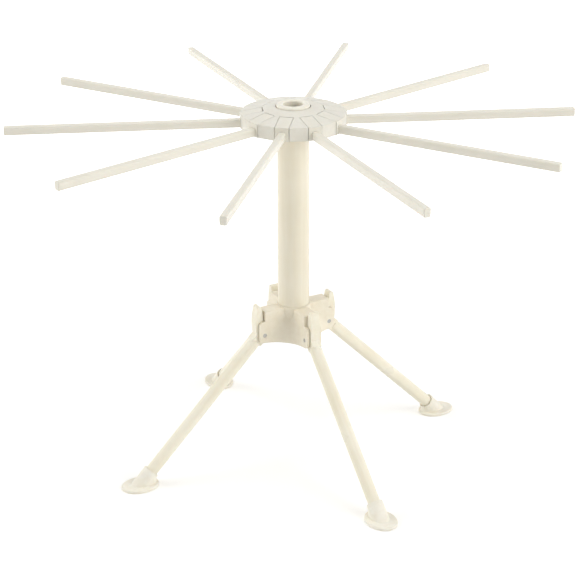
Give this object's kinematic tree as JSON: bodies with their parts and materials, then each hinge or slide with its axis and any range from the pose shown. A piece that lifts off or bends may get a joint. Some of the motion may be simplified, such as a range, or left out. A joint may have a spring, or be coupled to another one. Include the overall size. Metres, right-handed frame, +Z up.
{
  "type": "drying rack",
  "caption": "Collapsible radial drying rack: straight rods fold down from a swivelling round hub on a column, with splayed folding legs on round feet.",
  "frame": {"origin": "centre of the four-foot stance on the floor plane, on the column's axis", "axes": "+Z up along the column; +X along the first rod, from the column to its tip"},
  "size_m": [0.42, 0.4006, 0.2826],
  "materials": {
    "hub_plastic": "moulded polypropylene, fine satin, warm pale grey-beige",
    "cap_plastic": "moulded polypropylene, smooth, cream",
    "column_plastic": "moulded polypropylene tube, smooth, cream",
    "rod_plastic": "moulded food-grade polypropylene, smooth, off-white",
    "base_plastic": "moulded polypropylene, smooth, cream",
    "leg_plastic": "moulded polypropylene, smooth, cream",
    "foot_plastic": "soft moulded plastic, satin, near-white cream",
    "pin_steel": "drawn stainless steel",
    "screw_steel": "stainless steel, turned head"
  },
  "bodies": {
    "base": {"base_hub": "base_plastic", "column": "column_plastic", "column_cap": "cap_plastic", "leg_pin_1": "pin_steel", "leg_pin_2": "pin_steel", "leg_pin_3": "pin_steel", "leg_pin_4": "pin_steel"},
    "hub": {"hub_disc": "hub_plastic", "hub_retainer": "hub_plastic", "retainer_screws": "screw_steel"},
    "rod_1": {"rod_1": "rod_plastic"},
    "rod_2": {"rod_2": "rod_plastic"},
    "rod_3": {"rod_3": "rod_plastic"},
    "rod_4": {"rod_4": "rod_plastic"},
    "rod_5": {"rod_5": "rod_plastic"},
    "rod_6": {"rod_6": "rod_plastic"},
    "rod_7": {"rod_7": "rod_plastic"},
    "rod_8": {"rod_8": "rod_plastic"},
    "rod_9": {"rod_9": "rod_plastic"},
    "rod_10": {"rod_10": "rod_plastic"},
    "leg_1": {"leg_1": "leg_plastic", "foot_1": "foot_plastic"},
    "leg_2": {"leg_2": "leg_plastic", "foot_2": "foot_plastic"},
    "leg_3": {"leg_3": "leg_plastic", "foot_3": "foot_plastic"},
    "leg_4": {"leg_4": "leg_plastic", "foot_4": "foot_plastic"}
  },
  "joints": [
    {"name": "hub_swivel", "type": "hinge", "parent": "base", "child": "hub", "pos_m": [0, 0, 0.2692], "axis": [0, 0, 1], "continuous": true},
    {"name": "rod_1_fold", "type": "hinge", "parent": "hub", "child": "rod_1", "pos_m": [0.026, 0, 0.2692], "axis": [0, 1, 0], "range_deg": [0, 78]},
    {"name": "rod_2_fold", "type": "hinge", "parent": "hub", "child": "rod_2", "pos_m": [0.02103, 0.01528, 0.2692], "axis": [-0.5878, 0.809, 0], "range_deg": [0, 78]},
    {"name": "rod_3_fold", "type": "hinge", "parent": "hub", "child": "rod_3", "pos_m": [0.00803, 0.02473, 0.2692], "axis": [-0.9511, 0.309, 0], "range_deg": [0, 78]},
    {"name": "rod_4_fold", "type": "hinge", "parent": "hub", "child": "rod_4", "pos_m": [-0.00803, 0.02473, 0.2692], "axis": [-0.9511, -0.309, 0], "range_deg": [0, 78]},
    {"name": "rod_5_fold", "type": "hinge", "parent": "hub", "child": "rod_5", "pos_m": [-0.02103, 0.01528, 0.2692], "axis": [-0.5878, -0.809, 0], "range_deg": [0, 78]},
    {"name": "rod_6_fold", "type": "hinge", "parent": "hub", "child": "rod_6", "pos_m": [-0.026, 0, 0.2692], "axis": [0, -1, 0], "range_deg": [0, 78]},
    {"name": "rod_7_fold", "type": "hinge", "parent": "hub", "child": "rod_7", "pos_m": [-0.02103, -0.01528, 0.2692], "axis": [0.5878, -0.809, 0], "range_deg": [0, 78]},
    {"name": "rod_8_fold", "type": "hinge", "parent": "hub", "child": "rod_8", "pos_m": [-0.00803, -0.02473, 0.2692], "axis": [0.9511, -0.309, 0], "range_deg": [0, 78]},
    {"name": "rod_9_fold", "type": "hinge", "parent": "hub", "child": "rod_9", "pos_m": [0.00803, -0.02473, 0.2692], "axis": [0.9511, 0.309, 0], "range_deg": [0, 78]},
    {"name": "rod_10_fold", "type": "hinge", "parent": "hub", "child": "rod_10", "pos_m": [0.02103, -0.01528, 0.2692], "axis": [0.5878, 0.809, 0], "range_deg": [0, 78]},
    {"name": "leg_1_fold", "type": "hinge", "parent": "base", "child": "leg_1", "pos_m": [0.02583, 0.01081, 0.105], "axis": [-0.3859, 0.9225, 0], "range_deg": [0, 45]},
    {"name": "leg_2_fold", "type": "hinge", "parent": "base", "child": "leg_2", "pos_m": [-0.01081, 0.02583, 0.105], "axis": [-0.9225, -0.3859, 0], "range_deg": [0, 45]},
    {"name": "leg_3_fold", "type": "hinge", "parent": "base", "child": "leg_3", "pos_m": [-0.02583, -0.01081, 0.105], "axis": [0.3859, -0.9225, 0], "range_deg": [0, 45]},
    {"name": "leg_4_fold", "type": "hinge", "parent": "base", "child": "leg_4", "pos_m": [0.01081, -0.02583, 0.105], "axis": [0.9225, 0.3859, 0], "range_deg": [0, 45]}
  ]
}
